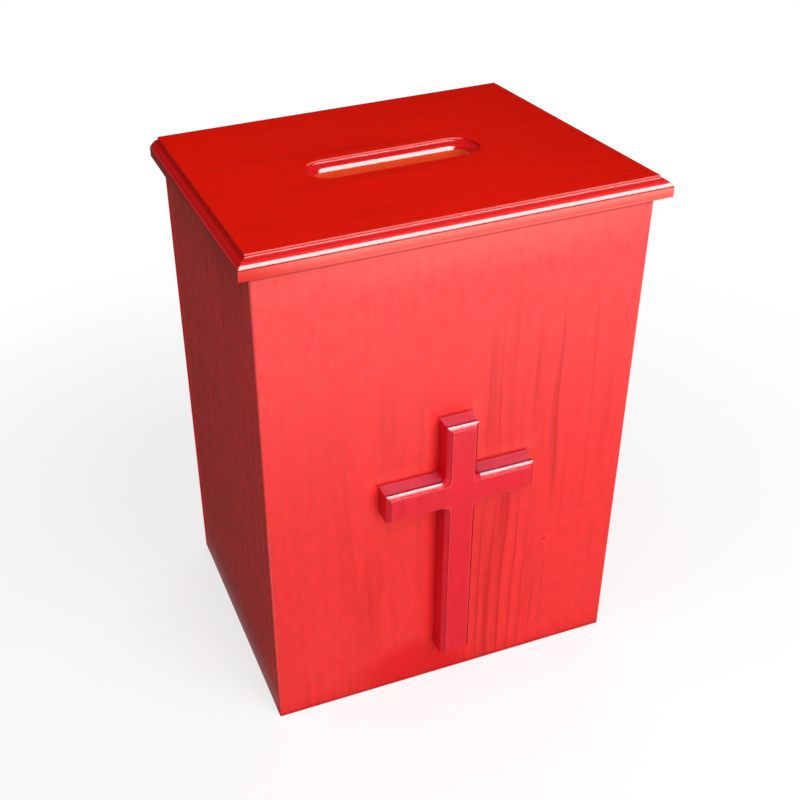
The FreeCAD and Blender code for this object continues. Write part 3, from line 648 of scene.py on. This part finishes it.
def stainedPine(name, board):
    material, wire = startMaterial("stained_pine_" + name)
    figure = boardFigure(wire.place(), name, board)
    flat, dye = figure["flat"], board["dye"]
    layers = plainFinish(figure, board)
    if name in finishes:
        finishes[name](figure, board, layers)
    # the lighter arris colour: on the lid and the cross a painted highlight and sheen, on the other boards
    # partly wear and partly a painted highlight
    rubbed = layers["rubbed"]
    colour = rubbed.tint(layers["colour"], dye["rubbed"])
    if name == "lid_board":
        # painted light: the slot's cut wall in a bright orange that stands in for light bounced inside the
        # slot
        wall = slotAway(flat).step(*lidLook["wall"]) * flat["z"].step(*lidLook["wallTop"])
        colour = wall.tint(colour, lidLook["slotWallLitColour"])
    # inside the box the boards were left unstained
    reach, soft = stain["cavity"], stain["cavitySoft"]
    inside = abs(flat["x"]).step(reach[0] + soft[0], reach[0])
    inside = inside * abs(flat["y"]).step(reach[1] + soft[1], reach[1])
    inside = inside * flat["z"].step(reach[2] + soft[2], reach[2])
    bare = bareDepth(figure, stain["bare"]).tint(barePineColours["early"], barePineColours["late"])
    sheen = stain["roughness"] + figure["fibre"].swing() * stain["fibreRoughness"]
    sheen = sheen + figure["blotch"].swing() * stain["blotchRoughness"] + rubbed * stain["wearAndHighlightRoughness"]
    relief = figure["fibre"] * stain["fibreRelief"] + figure["late"] * stain["lateRelief"]
    relief = relief - figure["pores"] * stain["poreRelief"]
    closeMaterial(wire, {
        "Base Color": inside.tint(colour, bare),
        "Roughness": sheen + inside * (stain["bareRoughness"] - sheen),
        "Normal": relief.bump(*stain["bump"]), "Specular IOR Level": dye["gloss"],
        "Coat Weight": (1 - inside) * layers["lacquer"], "Coat Roughness": dye["coatRoughness"],
        "Coat IOR": stain["coatIor"],
    })
    return material


for boardName, boardSetup in boards.items():
    dress(boardName, stainedPine(boardName, boardSetup))
print("stained boards dressed:", len(boards))

# bare pine sticks
stickLook = {
    "depth": {"late": 0.75, "fibre": 0.5, "blotch": 0.3, "pores": 0.25}, "roughness": 0.64,
    "fibreRoughness": 0.20, "lateRelief": 0.5, "poreRelief": 0.6, "bump": (0.4, 0.0003), "gloss": 0.3,
}
sticks = {
    "corner_batten_front_left": {"axes": "xyz", "pith": (-0.150, -0.060), "ring": 0.0050, "seed": 50.3},
    "corner_batten_front_right": {"axes": "xyz", "pith": (0.100, -0.110), "ring": 0.0046, "seed": 54.1},
    "corner_batten_back_left": {"axes": "xyz", "pith": (-0.100, 0.120), "ring": 0.0052, "seed": 58.6},
    "corner_batten_back_right": {"axes": "xyz", "pith": (0.150, 0.060), "ring": 0.0048, "seed": 62.2},
    "lid_cleat_left": {"axes": "zxy", "pith": (0.430, -0.150), "ring": 0.0048, "seed": 66.9},
    "lid_cleat_right": {"axes": "zxy", "pith": (0.380, 0.150), "ring": 0.0052, "seed": 70.4},
    "door_stop_upper": {"axes": "zyx", "pith": (0.400, 0.120), "ring": 0.0050, "seed": 74.8},
    "door_stop_lower": {"axes": "zyx", "pith": (0.020, 0.120), "ring": 0.0047, "seed": 78.5},
    "back_frame_dowels": {"axes": "zyx", "pith": (0.200, 0.160), "ring": 0.0030, "seed": 82.7},
}


def barePine(name, board, look):
    material, wire = startMaterial("bare_pine_" + name)
    figure = boardFigure(wire.place(), name, board)
    depth = bareDepth(figure, look["depth"])
    relief = figure["fibre"] + figure["late"] * look["lateRelief"] - figure["pores"] * look["poreRelief"]
    closeMaterial(wire, {
        "Base Color": depth.tint(barePineColours["early"], barePineColours["late"]),
        "Roughness": look["roughness"] + figure["fibre"].swing() * look["fibreRoughness"],
        "Normal": relief.bump(*look["bump"]), "Specular IOR Level": look["gloss"],
    })
    return material


for stickName, stickSetup in sticks.items():
    dress(stickName, barePine(stickName, stickSetup, stickLook))
print("bare sticks dressed:", len(sticks))

# plywood bottom: veneer faces, layered edges
plywood = {
    "veneer": rgb(0.66, 0.47, 0.28), "veneerLate": rgb(0.50, 0.32, 0.16), "crossPly": rgb(0.40, 0.24, 0.11),
    "plies": 5, "board": {"axes": "yzx", "pith": (0.010, -0.090), "ring": 0.0070, "seed": 90.3},
    "depth": {"late": 0.6, "fibre": 0.6, "blotch": 0.4, "pores": 0.0}, "odd": (0.4, 0.6), "crossDark": 0.7,
    "crossFibre": 0.6, "roughness": 0.66, "fibreRoughness": 0.2, "crossRoughness": 0.1, "crossRelief": 0.5,
    "bump": (0.4, 0.0003), "gloss": 0.3,
}


def plywoodBoard(name, setup):
    material, wire = startMaterial("plywood_" + name)
    figure = boardFigure(wire.place(), name, setup["board"])
    fibre = figure["fibre"]
    colour = bareDepth(figure, setup["depth"]).tint(setup["veneer"], setup["veneerLate"])
    low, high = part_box(name)
    plyHeight = (high[2] - low[2]) / setup["plies"]
    layer = wire.maths("FLOOR", (figure["flat"]["z"] - low[2]) / plyHeight)
    darkLayer = wire.maths("MODULO", layer, 2.0).step(*setup["odd"])
    crossShare = darkLayer * (setup["crossDark"] + fibre.swing() * setup["crossFibre"])
    roughness = setup["roughness"] + fibre.swing() * setup["fibreRoughness"]
    roughness = roughness + darkLayer * setup["crossRoughness"]
    closeMaterial(wire, {
        "Base Color": crossShare.tint(colour, setup["crossPly"]), "Roughness": roughness,
        "Normal": (fibre - darkLayer * setup["crossRelief"]).bump(*setup["bump"]),
        "Specular IOR Level": setup["gloss"],
    })
    return material


dress("bottom_board", plywoodBoard("bottom_board", plywood))
print("plywood bottom dressed")

# metals: colour, how rough, how the brushing is stretched along the axes, and how far aged
metalWear = {
    "cloud": ((90.0, 90.0, 90.0), 2.0, 3.0, 0.6), "clouded": (0.42, 0.75),
    "speck": ((1400.0, 1400.0, 1400.0), 4.0, 1.0, 0.5), "specked": (0.64, 0.72), "speckAge": 0.25,
    "speckRelief": 0.5, "brushDetail": (3.0, 0.6), "brushRoughness": 0.16, "agedRoughness": 0.16,
    "bump": (0.12, 0.00006),
}
metals = {
    "satin_brass": {
        "colour": rgb(0.78, 0.53, 0.20), "aged": rgb(0.46, 0.27, 0.09), "roughness": 0.26,
        "brush": (60.0, 900.0, 900.0), "ageing": 0.45, "seed": 101.0,
        "pieces": ("hinge_upper_frame_leaf", "hinge_upper_door_leaf", "hinge_upper_pin",
                   "hinge_lower_frame_leaf", "hinge_lower_door_leaf", "hinge_lower_pin",
                   "hinge_frame_screws", "hinge_door_screws"),
    },
    "zinc_plate": {
        "colour": rgb(0.66, 0.67, 0.69), "aged": rgb(0.42, 0.42, 0.40), "roughness": 0.34,
        "brush": (500.0, 500.0, 500.0), "ageing": 0.5, "seed": 113.0,
        "pieces": ("lid_screws", "cleat_screws", "bottom_screws", "cross_screws", "door_stop_screws",
                   "lock_nut", "lock_cam", "lock_cam_washer", "lock_cam_screw"),
    },
    "bright_nickel": {
        "colour": rgb(0.72, 0.70, 0.66), "aged": rgb(0.50, 0.47, 0.42), "roughness": 0.16,
        "brush": (900.0, 60.0, 900.0), "ageing": 0.3, "seed": 127.0,
        "pieces": ("lock_housing", "lock_plug", "key"),
    },
}


def metalFinish(name, metal, wear):
    material, wire = startMaterial(name)
    place = wire.place()
    brushed = place.noise(metal["brush"], metal["seed"], *wear["brushDetail"])
    cloud = place.pattern(wear["cloud"], metal["seed"]).step(*wear["clouded"])
    speck = place.pattern(wear["speck"], metal["seed"]).step(*wear["specked"])
    aged = (cloud * metal["ageing"] + speck * wear["speckAge"]).least(1.0)
    roughness = metal["roughness"] + brushed.swing() * wear["brushRoughness"] + aged * wear["agedRoughness"]
    closeMaterial(wire, {
        "Base Color": aged.tint(metal["colour"], metal["aged"]), "Roughness": roughness, "Metallic": 1.0,
        "Normal": (brushed - speck * wear["speckRelief"]).bump(*wear["bump"]),
    })
    return material


for metalName, metalSetup in metals.items():
    finish = metalFinish(metalName, metalSetup, metalWear)
    for piece in metalSetup["pieces"]:
        dress(piece, finish)
    print(metalName, "on", len(metalSetup["pieces"]), "pieces")
